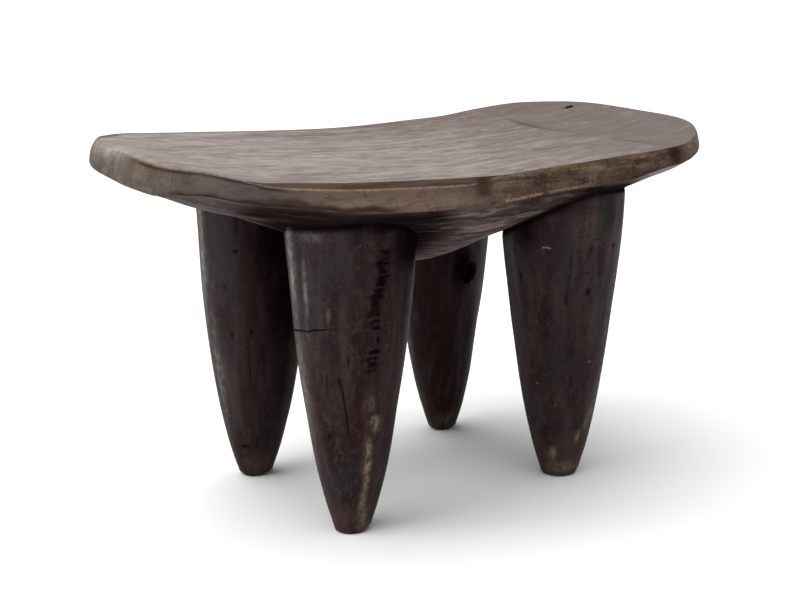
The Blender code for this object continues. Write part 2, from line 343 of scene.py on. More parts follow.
def build_seat():
    """The seat as one closed mesh, with masks for its zones and marks."""
    ux, uy = outline(SEAT_COLUMNS)
    half_l = SEAT_LENGTH / 2
    half_w = SEAT_WIDTH / 2
    taper = 1 + SEAT_TAPER * ux

    def ring_xy(inset):
        """Plan of the outline moved inwards; inset may vary round the ring."""
        return (half_l - inset) * ux, (half_w - inset) * uy * taper

    rim_x, rim_y = ring_xy(0.0)
    wobble_at = np.column_stack([rim_x, rim_y, np.zeros(SEAT_COLUMNS)])
    wobble = 0.0007 * layered(wobble_at, (14, 14, 1), 2, 5)
    rim_flush = top_height(rim_x, rim_y)
    bevel = chamfer_amount(rim_x, rim_y)
    bevelled = smooth(0.0, 0.35, bevel)
    roll = edge_roll(rim_x, rim_y) * (1 - 0.7 * bevel)
    lift_top = corner_lift(CORNER_TOP, rim_x, rim_y)
    lift_low = corner_lift(CORNER_LOW, rim_x, rim_y)
    rim_top = rim_flush + lift_top - roll
    roll_reach = 0.0055 + 0.0060 * smooth(-0.02, 0.04, rim_y)
    rim_low = rim_flush + lift_low - along(RIM_HEIGHT, rim_x)
    rim_low = rim_low + 0.0006 * noise(wobble_at, (30, 30, 1), 9)
    run_x = np.roll(rim_x, -1) - np.roll(rim_x, 1)
    run_y = np.roll(rim_y, -1) - np.roll(rim_y, 1)
    facing_x = run_y / np.hypot(run_x, run_y)
    facing_y = -run_x / np.hypot(run_x, run_y)
    lean = RIM_LEAN[0] * np.maximum(-facing_x, 0) ** 2 + RIM_LEAN[1] * np.maximum(-facing_y, 0) ** 2
    lean = lean + RIM_LEAN[2] * np.maximum(facing_x, 0) ** 2 + RIM_LEAN[3] * np.maximum(facing_y, 0) ** 2
    lean = lean + 0.0006 * noise(wobble_at, (22, 22, 1), 6)

    rows = []
    zone = []
    inside = []
    for k in range(BELLY_RINGS):
        inset = (half_w - 0.0012) + (0.0010 - (half_w - 0.0012)) * (k / (BELLY_RINGS - 1)) ** 0.75
        x, y = ring_xy(inset)
        z = belly_height(x, y) + lift_low * math.exp(-(inset / 0.020) ** 2)
        rows.append(np.column_stack([x, y, z]))
        zone.append(np.zeros(SEAT_COLUMNS))
        inside.append(np.full(SEAT_COLUMNS, inset))
    split_in = lean * (1 - bevel) + 0.0018 * bevel
    split_up = 1 - 0.24 * bevel
    for k in range(RIM_RINGS):
        s = 1 - k / (RIM_RINGS - 1)
        angle = s * math.pi / 2
        round_in = lean * (1 - math.sin(angle) ** 1.35)
        round_up = math.cos(angle) ** 1.35
        if s > 0.42:
            t = (1 - s) / 0.58
            bevel_in = split_in * t
            bevel_up = split_up * t
        else:
            t = (0.42 - s) / 0.42
            bevel_in = split_in + (lean + 0.0022 * bevel - split_in) * t
            bevel_up = split_up + (1 - split_up) * t
        inset = round_in * (1 - bevelled) + bevel_in * bevelled
        up = round_up * (1 - bevelled) + bevel_up * bevelled
        x, y = ring_xy(inset - wobble)
        z = rim_low + (rim_top - rim_low) * up
        rows.append(np.column_stack([x, y, z]))
        zone.append(np.full(SEAT_COLUMNS, 1 + (1 - s)))
        inside.append(np.zeros(SEAT_COLUMNS))
    edge_inset = lean + 0.0022 * bevel * bevelled
    for k in range(1, TOP_RINGS + 1):
        t = (k / TOP_RINGS) ** 1.08
        inset = edge_inset + (half_w - 0.0012 - edge_inset) * t
        x, y = ring_xy(inset - wobble * (1 - t))
        near_edge = np.exp(-((inset - edge_inset) / roll_reach) ** 1.2)
        raised = lift_top * np.exp(-((inset - edge_inset) / 0.045) ** 2)
        rows.append(np.column_stack([x, y, top_height(x, y) + raised - roll * near_edge]))
        zone.append(np.full(SEAT_COLUMNS, 3.0))
        inside.append(inset - edge_inset)

    verts = np.concatenate(rows)
    zone = np.concatenate(zone)
    inside = np.concatenate(inside)
    rows_total = len(rows)
    faces = ring_faces(rows_total, SEAT_COLUMNS)
    half = SEAT_COLUMNS // 2
    last = (rows_total - 1) * SEAT_COLUMNS
    caps = []
    for i in range(half):
        j = (SEAT_COLUMNS - i) % SEAT_COLUMNS
        k = (SEAT_COLUMNS - i - 1) % SEAT_COLUMNS
        low = [i, j, k, i + 1]
        if i == 0:
            low = [0, k, 1]
        elif i == half - 1:
            low = [i, j, half]
        caps.append(low)
        caps.append([last + n for n in low[::-1]])

    masks = seat_marks(verts, zone, inside)
    return make_object("seat_carved", verts, list(faces) + caps, masks)


def seat_marks(verts, zone, inside):
    """Carves the seat's small marks into verts and returns the colour masks."""
    base = verts.copy()
    x, y, z = base[:, 0], base[:, 1], base[:, 2]
    on_top = (zone > 2.5).astype(float)
    on_belly = (zone < 0.5).astype(float)
    on_rim = 1 - on_top - on_belly
    height_on_rim = np.clip(zone - 1, 0, 1)
    front = smooth(0.02, 0.08, -y)

    # broad adze waves and fine grain on the top
    inner = smooth(0.0, 0.03, inside)
    wave = 0.00055 * layered(base, (9, 38, 1), 3, 21)
    grain = 0.00012 * layered(base, (26, 330, 30), 2, 33)
    verts[:, 2] += on_top * (wave * inner + grain)

    # the belly is left from the adze in long shallow facets
    facet = 0.0011 * layered(base, (14, 44, 44), 3, 41)
    verts[:, 2] += on_belly * facet * smooth(0.0, 0.02, inside)

    # the rim keeps short upright tool facets
    outward = np.stack([x / (SEAT_LENGTH / 2) ** 2, y / (SEAT_WIDTH / 2) ** 2], 1)
    outward /= np.linalg.norm(outward, axis=1)[:, None] + 1e-9
    rim_facet = 0.0007 * layered(base, (42, 42, 70), 3, 51) * on_rim * np.sin(math.pi * height_on_rim)
    verts[:, 0] += outward[:, 0] * rim_facet
    verts[:, 1] += outward[:, 1] * rim_facet

    # comb of small cuts along the lower edge at the front right
    comb_zone = smooth(-0.003, 0.008, x) * (1 - smooth(0.094, 0.113, x)) * front
    comb_gap = 1 - smooth(0.044, 0.048, x) * (1 - smooth(0.052, 0.056, x))
    tooth = 0.5 + 0.5 * np.sin(x * 2 * math.pi / 0.0046 + 2.2 * np.sin(x * 90))
    comb_reach = 0.135 + 0.075 * noise(base, (170, 1, 1), 61)
    comb = on_rim * comb_zone * comb_gap * smooth(0.5, 0.9, tooth)
    comb = comb * (1 - smooth(comb_reach * 0.6, comb_reach, height_on_rim))
    verts[:, 1] += 0.0003 * comb
    comb_line = on_rim * comb_zone * comb_gap * np.exp(-((height_on_rim - 0.07) / 0.045) ** 2)

    # lens-shaped hole and cross-grain facet edges near the right end; painted shadow along the facet step
    # and painted shade on the facet beyond it
    hole = ((x - HOLE_CENTRE[0]) / HOLE_HALF_LENGTH) ** 2 + ((y - HOLE_CENTRE[1]) / HOLE_HALF_WIDTH) ** 2
    verts[:, 2] -= 0.005 * on_top * (1 - smooth(0.3, 0.9, hole))
    ridge = [(0.1885, 0.088), (0.1840, 0.046), (0.1860, 0.013), (0.1965, -0.019), (0.1985, -0.058),
             (0.2033, -0.081), (0.2105, -0.104), (0.2140, -0.128)]
    step, run = path_distance(x, y, ridge)
    ragged_step = step + 0.0006 * noise(base, (120, 120, 1), 87)
    sharpness = along([(0.0, 0.0), (0.08, 0.95), (0.30, 0.75), (0.42, 0.25),
                       (0.60, 0.25), (0.74, 0.7), (1.0, 0.3)], run)
    line = on_top * sharpness * (1 - smooth(0.0006, 0.0042, ragged_step))
    verts[:, 2] -= 0.0006 * line
    ridge_x = np.interp(y, [p[1] for p in ridge[::-1]], [p[0] for p in ridge[::-1]])
    beyond = smooth(-0.004, 0.004, x - ridge_x)
    near_step = 0.70 * np.exp(-(step / 0.011) ** 2) * (0.35 + 0.65 * beyond) * sharpness
    shade = on_top * (0.30 * beyond + near_step)

    # golden wear where hands rub the edges
    fleck = 0.5 + 0.5 * layered(base, (60, 60, 120), 3, 71)
    bevel = chamfer_amount(x, y)
    line_at = 0.60 + 0.36 * (1 - smooth(0.08, 0.45, bevel))
    strip = 0.0085 + 0.0030 * noise(base, (60, 60, 1), 75)
    left_front = (1 - smooth(-0.235, -0.205, x)) * smooth(-0.012, 0.020, -y)
    bevelled = smooth(0.0, 0.35, bevel)
    arris_width = 0.036 + 0.075 * (1 - bevelled)
    worn_arris = np.exp(-((height_on_rim - line_at) / arris_width) ** 2) * on_rim * left_front
    worn_arris = worn_arris * (0.60 + 0.40 * fleck)
    edge_run = (1 - smooth(-0.21, -0.16, x)) * smooth(0.020, 0.060, -y)
    edge = on_top * (1 - smooth(0.55, 1.15, inside / strip)) * edge_run
    back_run = on_top * smooth(0.03, 0.07, y) * smooth(-0.24, -0.10, x) * (1 - smooth(0.0, 0.010, inside))
    edge = np.maximum(edge, 0.5 * back_run)
    strip_line = on_top * np.exp(-((inside - strip * 1.25) / 0.0030) ** 2) * edge_run
    strip_line = strip_line * smooth(-0.30, -0.27, x)
    high_line = smooth(0.66, 0.95, line_at)
    # painted shadow: a dark line just under the rounded top edge at the left front corner
    under_at = line_at - 0.09 - 0.13 * high_line
    under_arris = np.exp(-((height_on_rim - under_at) / (0.045 + 0.025 * high_line)) ** 2) * on_rim
    under_arris = under_arris * (1 - smooth(-0.225, -0.200, x)) * smooth(0.012, 0.050, -y)
    under_arris = under_arris * (0.75 + 0.25 * noise(base, (50, 50, 50), 107))
    bevel_line = np.exp(-((height_on_rim - line_at) / 0.036) ** 2) * on_rim * smooth(0.0, 0.15, bevel)
    bevel_top = np.exp(-((height_on_rim - 0.97) / 0.045) ** 2) * on_rim * bevel
    low_line = np.exp(-((height_on_rim - 0.17) / 0.15) ** 2) * on_rim
    low_line = low_line * front * smooth(-0.205, -0.17, x) * (1 - smooth(-0.01, 0.04, x))
    low_line = low_line * (1 - 0.60 * smooth(-0.12, -0.08, x))
    right_part = on_rim * front * smooth(-0.012, 0.0, x)
    right_top = right_part * np.exp(-((height_on_rim - 0.78) / 0.13) ** 2)
    long_fleck = smooth(0.47, 0.66, 0.5 + 0.5 * layered(base, (26, 90, 420), 3, 73))
    right_streaks = right_part * np.exp(-((height_on_rim - 0.70) / 0.30) ** 2) * long_fleck
    warm_corner = right_part * smooth(0.13, 0.17, x) * (1 - smooth(0.225, 0.245, x))
    warm_corner = warm_corner * np.exp(-((height_on_rim - 0.5) / 0.30) ** 2)
    end_spots = on_rim * smooth(0.225, 0.24, x) * smooth(0.62, 0.74, fleck)
    end_spots = end_spots * smooth(0.6, 0.8, height_on_rim)
    gold = np.maximum.reduce([
        0.80 * worn_arris,
        1.10 * bevel_line * (0.35 + 0.80 * fleck),
        0.30 * bevel_top * fleck,
        0.66 * low_line * (0.10 + 1.1 * fleck),
        1.00 * comb,
        0.85 * comb_line,
        0.60 * right_streaks,
        0.25 * right_top * smooth(0.30, 0.7, fleck),
        0.20 * warm_corner * smooth(0.25, 0.7, fleck),
        0.22 * end_spots,
        0.16 * on_rim * (1 - smooth(-0.29, -0.24, x)) * smooth(0.4, 0.8, fleck),
    ])

    # dark knots and stains on the rim, with a painted shadow line under the top edge at the left front
    # corner
    sag = 0.10 * ((x + 0.0190) / 0.010) ** 2
    knot_one = np.abs((x + 0.0190 + 0.004 * (height_on_rim - 0.6)) / 0.0095) ** 3
    knot_one = knot_one + np.abs((height_on_rim - 0.60 + sag) / 0.46) ** 4
    knot_two = np.abs((x - 0.2170) / 0.0105) ** 3 + np.abs((height_on_rim - 0.50) / 0.45) ** 4
    rough_edge = 1 + 0.5 * noise(base, (160, 160, 260), 97)
    dark = np.maximum(0.60 * np.exp(-knot_one * rough_edge), 0.70 * np.exp(-knot_two * rough_edge))
    dark = dark * on_rim * front
    bevel_face = on_rim * smooth(0.0, 0.2, bevel) * smooth(line_at + 0.02, line_at + 0.06, height_on_rim)
    right_edge = right_part * np.exp(-((height_on_rim - 0.97) / 0.05) ** 2) * (1 - smooth(0.15, 0.19, x))
    dark = np.maximum.reduce([dark, under_arris, 0.25 * strip_line, 0.5 * right_edge])
    stain_line = on_rim * front * smooth(-0.301, -0.288, x) * (1 - smooth(-0.13, -0.09, x))
    stain_low = 0.05 + 0.07 * noise(base, (70, 70, 1), 99)
    stain_line = stain_line * np.exp(-((height_on_rim - stain_low) / 0.11) ** 2)
    dark = np.maximum(dark, 0.85 * stain_line)
    low_stain = on_rim * front * smooth(-0.250, -0.225, x) * (1 - smooth(-0.190, -0.165, x))
    stain_top = 0.24 + 0.16 * layered(base, (60, 60, 60), 3, 103)
    below_stain_top = 1 - smooth(stain_top - 0.06, stain_top + 0.06, height_on_rim)
    dark = np.maximum(dark, 0.62 * low_stain * below_stain_top)
    # painted shade on the belly just under the rim's lip at the front
    under_lip = on_belly * front * smooth(-0.272, -0.232, x) * (1 - smooth(-0.07, -0.03, x))
    lip_reach = 0.016 + 0.028 * smooth(-0.265, -0.225, x)
    lip_painted_shade = 0.80 * under_lip * np.exp(-(inside / lip_reach) ** 4)
    right_lip = on_belly * front * smooth(0.00, 0.03, x) * (1 - smooth(0.10, 0.16, x))
    lip_painted_shade = np.maximum(lip_painted_shade, 0.55 * right_lip * np.exp(-(inside / 0.012) ** 2))
    smudge = np.exp(-np.abs((y - 0.016) / 0.006) ** 3 - np.abs((height_on_rim - 0.42) / 0.34) ** 4)
    dark = np.maximum(dark, 0.30 * smudge * on_rim * (1 - smooth(-0.29, -0.27, x)) * rough_edge)
    band_foot = on_rim * front * smooth(0.11, 0.15, x) * np.exp(-((height_on_rim - 0.02) / 0.10) ** 2)
    dark = np.maximum(dark, 0.45 * band_foot)
    gold = gold * (1 - smooth(0.25, 0.6, dark))

    # painted shade in the shoulder where each leg meets the belly, and under the lip of the rim
    crease = np.zeros(len(x))
    for name in LEGS:
        cx, cy = leg_centre(name, z)
        radius = leg_radius(name, z)
        away = (np.hypot((x - cx) / LEG_OVAL, (y - cy) * LEG_OVAL) - radius)
        reach = CREASE_REACH[name] * (1 + 0.35 * noise(base, (45, 45, 45), 81))
        crease = np.maximum(crease, np.exp(-(np.maximum(away, 0) / reach) ** 2.2))
    crease = np.maximum(0.92 * crease * on_belly, lip_painted_shade)

    ragged = 0.0010 * noise(base, (80, 80, 80), 91)
    top_mask = on_top * smooth(-0.0012, 0.0014, inside + ragged)
    rubbed_end = (1 - smooth(-0.300, -0.250, x)) * smooth(-0.035, 0.035, y)
    rubbed_end = rubbed_end * smooth(0.20, 1.0, height_on_rim + 80 * ragged)
    pale_end = on_rim * smooth(0.252, 0.272, x) * smooth(-0.02, 0.02, -y)
    # painted reflection of the white floor along the belly's edge at the right end
    pale_lip = on_belly * smooth(0.15, 0.20, x) * np.exp(-(inside / 0.018) ** 2)
    top_mask = np.maximum(top_mask, 0.85 * on_rim * rubbed_end)
    return {
        "top": top_mask,
        "belly": on_belly * smooth(0.0, 0.006, inside),
        "gold": gold,
        "dark": dark,
        "line": line,
        "shade": shade,
        "edge": edge,
        "crease": crease,
        "bevel": bevel_face,
        "pale": np.maximum(0.55 * pale_end * (0.6 + 0.4 * fleck), 0.75 * pale_lip),
        "end": on_belly * smooth(0.215, 0.265, np.abs(x)),
    }


# ---------------------------------------------------------------- legs
# how far the painted shade spreads over the belly from each leg
CREASE_REACH = {
    "leg_front_left": 0.033,
    "leg_front_right": 0.015,
    "leg_rear_left": 0.012,
    "leg_rear_right": 0.012,
}
# angles in degrees round the leg from +X towards +Y; sizes in metres
# each mark: angle, height, half width, half height, strength
PITS = {
    "leg_front_left": [(-122, 0.177, 0.0012, 0.0050, 0.8), (-108, 0.176, 0.0010, 0.0035, 0.7),
                       (-97, 0.171, 0.0022, 0.0028, 0.7), (-149, 0.1027, 0.0012, 0.0040, 0.8),
                       (-146, 0.094, 0.0014, 0.0030, 0.6), (-104, 0.155, 0.0012, 0.0014, 0.5),
                       (-62, 0.298, 0.0030, 0.0020, 0.8)],
    "leg_front_right": [(-97, 0.2482, 0.0016, 0.0040, 0.8), (-84, 0.2527, 0.0012, 0.0014, 0.6),
                        (-68, 0.2485, 0.0022, 0.0026, 0.8), (-100, 0.2252, 0.0024, 0.0014, 0.6),
                        (-97, 0.2053, 0.0020, 0.0034, 0.8), (-94, 0.1967, 0.0012, 0.0026, 0.6),
                        (-109, 0.2672, 0.0010, 0.0016, 0.6), (-171, 0.2196, 0.0014, 0.0040, 0.8),
                        (-178, 0.247, 0.0016, 0.0030, 0.6), (-103, 0.2630, 0.0009, 0.0012, 0.6),
                        (-121, 0.1978, 0.0013, 0.0060, 0.6)],
    "leg_rear_left": [(-135, 0.2458, 0.0028, 0.0018, 0.9), (-148, 0.2092, 0.0010, 0.0030, 0.7),
                      (-157, 0.2092, 0.0010, 0.0026, 0.6), (-143, 0.1600, 0.0012, 0.0034, 0.7),
                      (-119, 0.1640, 0.0012, 0.0040, 0.7), (-138, 0.0370, 0.0030, 0.0018, 1.0),
                      (-112, 0.0375, 0.0018, 0.0014, 0.6)],
    "leg_rear_right": [(-96, 0.2200, 0.0012, 0.0012, 0.7)],
}
GOLD = {
    "leg_front_left": [(-97, 0.1337, 0.0042, 0.0080, 0.40), (-86, 0.1127, 0.0040, 0.0075, 0.55),
                       (-92, 0.118, 0.0040, 0.0055, 0.50), (-96, 0.0881, 0.0038, 0.0090, 0.55),
                       (-96, 0.0718, 0.0042, 0.0085, 0.65), (-95, 0.0551, 0.0040, 0.0100, 0.50),
                       (-98, 0.036, 0.0034, 0.0130, 0.45), (-92, 0.0180, 0.0044, 0.0100, 0.40),
                       (-80, 0.0080, 0.0060, 0.0060, 0.40)],
    "leg_front_right": [(-159, 0.108, 0.0008, 0.0008, 1.2), (-133, 0.085, 0.0008, 0.0008, 1.0),
                        (-87, 0.130, 0.0008, 0.0008, 1.2), (-75, 0.128, 0.0007, 0.0008, 1.0),
                        (-60, 0.155, 0.0009, 0.0008, 1.2), (-100, 0.277, 0.0100, 0.0140, 0.13),
                        (-69, 0.0723, 0.0022, 0.0090, 0.6),
                        (-74, 0.0610, 0.0026, 0.0090, 0.55),
                        (-88, 0.0466, 0.0030, 0.0060, 0.55), (-141, 0.0299, 0.0040, 0.0050, 0.45),
                        (-65, 0.095, 0.0030, 0.0200, 0.25), (-110, 0.0110, 0.0140, 0.0070, 0.35)],
    "leg_rear_left": [(-120, 0.0180, 0.0100, 0.0100, 0.08)],
    "leg_rear_right": [(-100, 0.0120, 0.0090, 0.0090, 0.18)],
}
# pale grey marks: painted sheen where the legs' left edges, and the rear right leg's right edge, catch the
# light; the rest pale dusty patches
GREY = {
    "leg_front_left": [(174, 0.268, 0.0055, 0.046, 1.0), (-165, 0.238, 0.0026, 0.022, 0.9),
                       (-141, 0.2199, 0.0020, 0.005, 0.3), (172, 0.150, 0.008, 0.060, 0.5),
                       (-152, 0.289, 0.012, 0.004, 0.35)],
    "leg_front_right": [(-114, 0.245, 0.0035, 0.028, 0.10), (-104, 0.262, 0.0025, 0.014, 0.12),
                        (178, 0.235, 0.003, 0.035, 0.20), (-70, 0.080, 0.005, 0.022, 0.15)],
    "leg_rear_left": [(176, 0.245, 0.007, 0.055, 0.8), (-172, 0.130, 0.006, 0.060, 0.4)],
    "leg_rear_right": [(-58, 0.165, 0.005, 0.035, 0.35), (-60, 0.225, 0.004, 0.030, 0.3)],
}
SLATE = {
    "leg_front_left": [(-134, 0.262, 0.018, 0.026, 0.9), (-160, 0.230, 0.016, 0.050, 0.6),
                       (-128, 0.060, 0.014, 0.022, 0.5)],
    "leg_front_right": [(-122, 0.245, 0.014, 0.045, 0.7), (-128, 0.130, 0.010, 0.040, 0.5),
                        (-165, 0.240, 0.012, 0.040, 0.4), (-78, 0.280, 0.012, 0.022, 0.8)],
    "leg_rear_left": [(-150, 0.235, 0.020, 0.060, 0.9), (-155, 0.130, 0.014, 0.060, 0.6)],
    "leg_rear_right": [(-62, 0.160, 0.010, 0.060, 0.8), (-160, 0.200, 0.010, 0.050, 0.3)],
}
RED = {
    "leg_front_left": [(-100, 0.225, 0.012, 0.045, 0.35), (-112, 0.120, 0.014, 0.040, 0.35),
                       (-76, 0.190, 0.012, 0.070, 0.45)],
    "leg_front_right": [(-135, 0.250, 0.016, 0.040, 0.35), (-140, 0.110, 0.014, 0.040, 0.35)],
    "leg_rear_left": [(-124, 0.200, 0.008, 0.075, 0.95), (-118, 0.110, 0.010, 0.040, 0.5)],
    "leg_rear_right": [(-128, 0.215, 0.014, 0.045, 0.9), (-112, 0.140, 0.012, 0.045, 0.7)],
}
# each crack: half width, depth, strength, then (angle, height) points
CRACKS = {
    "leg_front_left": [
        (0.0006, 0.0012, 0.95, [(150, 0.1955), (165, 0.1980), (185, 0.2018), (195, 0.2025), (203, 0.2048),
                                (214, 0.2052), (226, 0.2078), (240, 0.2082)]),
        (0.0007, 0.0009, 0.70, [(-134, 0.164), (-129, 0.150), (-126, 0.130), (-122, 0.104), (-116, 0.082)]),
        (0.0005, 0.0005, 0.50, [(-152, 0.167), (-153, 0.148)]),
        (0.0005, 0.0005, 0.50, [(-146, 0.166), (-146.5, 0.149)]),
    ],
    "leg_front_right": [
        (0.0006, 0.0006, 0.45, [(-114, 0.262), (-117, 0.240), (-118, 0.222), (-121, 0.200), (-122, 0.188)]),
    ],
    "leg_rear_left": [
        (0.0006, 0.0007, 0.5, [(-124, 0.150), (-122, 0.120), (-121, 0.100)]),
    ],
    "leg_rear_right": [
        (0.0006, 0.0006, 0.4, [(-92, 0.120), (-96, 0.085)]),
    ],
}
# places that stay almost black, marked like the pits
SHADOW = {
    "leg_front_left": [(-54, 0.280, 0.030, 0.032, 1.1), (-88, 0.297, 0.024, 0.008, 0.8),
                       (-60, 0.235, 0.008, 0.050, 0.5), (-130, 0.299, 0.030, 0.004, 0.7)],
    "leg_front_right": [(-52, 0.285, 0.008, 0.030, 0.55), (-162, 0.266, 0.016, 0.024, 0.80),
                        (-76, 0.282, 0.012, 0.022, 0.45),
                        (-140, 0.292, 0.040, 0.008, 0.6), (-48, 0.190, 0.003, 0.080, 0.6)],
    "leg_rear_left": [(-96, 0.255, 0.024, 0.055, 1.0), (-84, 0.190, 0.022, 0.065, 0.95),
                      (-76, 0.120, 0.012, 0.050, 0.5), (-134, 0.275, 0.003, 0.020, 0.5)],
    "leg_rear_right": [(-108, 0.248, 0.020, 0.036, 0.95), (-92, 0.196, 0.013, 0.024, 0.95),
                       (-70, 0.130, 0.010, 0.040, 0.4)],
}
# light scratches: half width, strength, then (angle, height) points
SCRATCHES = {
    "leg_front_left": [],
    "leg_front_right": [(0.0003, 0.75, [(-144, 0.2516), (-141, 0.2520), (-138.5, 0.2513), (-137, 0.2504)])],
    "leg_rear_left": [],
    "leg_rear_right": [],
}
# worn facets at the feet: angle, spread in degrees, how far in, how far up
FOOT_FACETS = {
    "leg_front_left": [(-34, 62, 0.0120, 0.0060), (146, 50, 0.0040, 0.0022), (60, 70, 0.0050, 0.0030)],
    "leg_front_right": [(-34, 48, 0.0110, 0.0062), (120, 60, 0.0040, 0.0026), (200, 40, 0.0030, 0.0020)],
    "leg_rear_left": [(-34, 80, 0.0060, 0.0040), (146, 80, 0.0060, 0.0040)],
    "leg_rear_right": [(-34, 80, 0.0055, 0.0038), (146, 80, 0.0055, 0.0038)],
}
KNOT_ANGLE = -79
KNOT_HEIGHT = 0.190


def turn(a, b):
    """Signed difference of two angles in degrees, -180 to 180."""
    return (a - b + 180) % 360 - 180


def build_leg(name, columns, rows_count, seed):
    """One leg as a closed mesh, from a faceted foot up into the belly."""
    angle = np.arange(columns) * 360 / columns
    ca = np.cos(np.radians(angle))
    sa = np.sin(np.radians(angle))

    # the height at which each side meets the belly, found by a few fixed-point steps
    meet = np.full(columns, 0.28)
    for _ in range(8):
        cx, cy = leg_centre(name, meet)
        radius = leg_radius(name, meet)
        meet = belly_height(cx + radius * LEG_OVAL * ca, cy + radius / LEG_OVAL * sa)

    cut_in = np.full(columns, 0.0025)
    cut_up = np.full(columns, 0.0016)
    for facet_angle, spread, reach_in, reach_up in FOOT_FACETS[name]:
        weight = np.clip(1 - np.abs(turn(angle, facet_angle)) / spread, 0, 1)
        weight = smooth(0.0, 0.7, weight)
        cut_in = np.maximum(cut_in, reach_in * weight)
        cut_up = np.maximum(cut_up, reach_up * weight)

    rings = []
    foot_radius = leg_radius(name, 0.0)
    for share in (0.08, 0.3, 0.55, 0.8, 1.0):
        reach = (foot_radius - cut_in) * share
        cx, cy = leg_centre(name, 0.0)
        ring_x = cx + reach * LEG_OVAL * ca
        ring_y = cy + reach / LEG_OVAL * sa
        rings.append(np.column_stack([ring_x, ring_y, np.zeros(columns)]))
    for share in (0.25, 0.5, 0.75, 0.9):
        height = cut_up * share ** 1.15
        reach = foot_radius - cut_in * (1 - share) + (leg_radius(name, cut_up) - foot_radius) * share
        cx, cy = leg_centre(name, height)
        rings.append(np.column_stack([cx + reach * LEG_OVAL * ca, cy + reach / LEG_OVAL * sa, height]))
    foot_rings = len(rings)
    for k in range(rows_count):
        t = k / (rows_count - 1)
        height = cut_up + (meet + 0.006 - cut_up) * t
        radius = leg_radius(name, height)
        cx, cy = leg_centre(name, height)
        rings.append(np.column_stack([cx + radius * LEG_OVAL * ca, cy + radius / LEG_OVAL * sa, height]))
    for share in (0.7, 0.35, 0.08):
        ring = rings[foot_rings + rows_count - 1].copy()
        mid = ring[:, :2].mean(axis=0)
        ring[:, :2] = mid + (ring[:, :2] - mid) * share
        ring[:, 2] = belly_height(ring[:, 0], ring[:, 1]) + 0.006
        rings.append(ring)

    verts = np.concatenate(rings)
    total = len(rings)
    side = np.zeros(len(verts))
    side[(foot_rings - 3) * columns:(foot_rings + rows_count) * columns] = 1.0
    around = np.tile(angle, total)
    below = np.tile(meet, total) - verts[:, 2]
    masks = leg_marks(name, verts, around, below, side, seed)

    faces = list(ring_faces(total, columns))
    low = len(verts)
    high = low + 1
    bottom_mid = verts[:columns].mean(axis=0)
    top_mid = verts[-columns:].mean(axis=0)
    last = (total - 1) * columns
    for i in range(columns):
        j = (i + 1) % columns
        faces.append([low, j, i])
        faces.append([high, last + i, last + j])
    verts = np.vstack([verts, bottom_mid, top_mid])
    masks = {key: np.append(value, [0.0, 0.0]) for key, value in masks.items()}
    return make_object(name + "_carved", verts, faces, masks)


def blobs(marks, around, height, radius, raggedness):
    """Soft ragged spots placed by angle and height."""
    total = np.zeros(len(around))
    for mark_angle, mark_height, half_w, half_h, strength in marks:
        across = np.radians(turn(around, mark_angle)) * radius
        q = (across / half_w) ** 2 + ((height - mark_height) / half_h) ** 2
        q = q * (1 + raggedness)
        total = np.maximum(total, strength * np.exp(-q * 0.9))
    return total


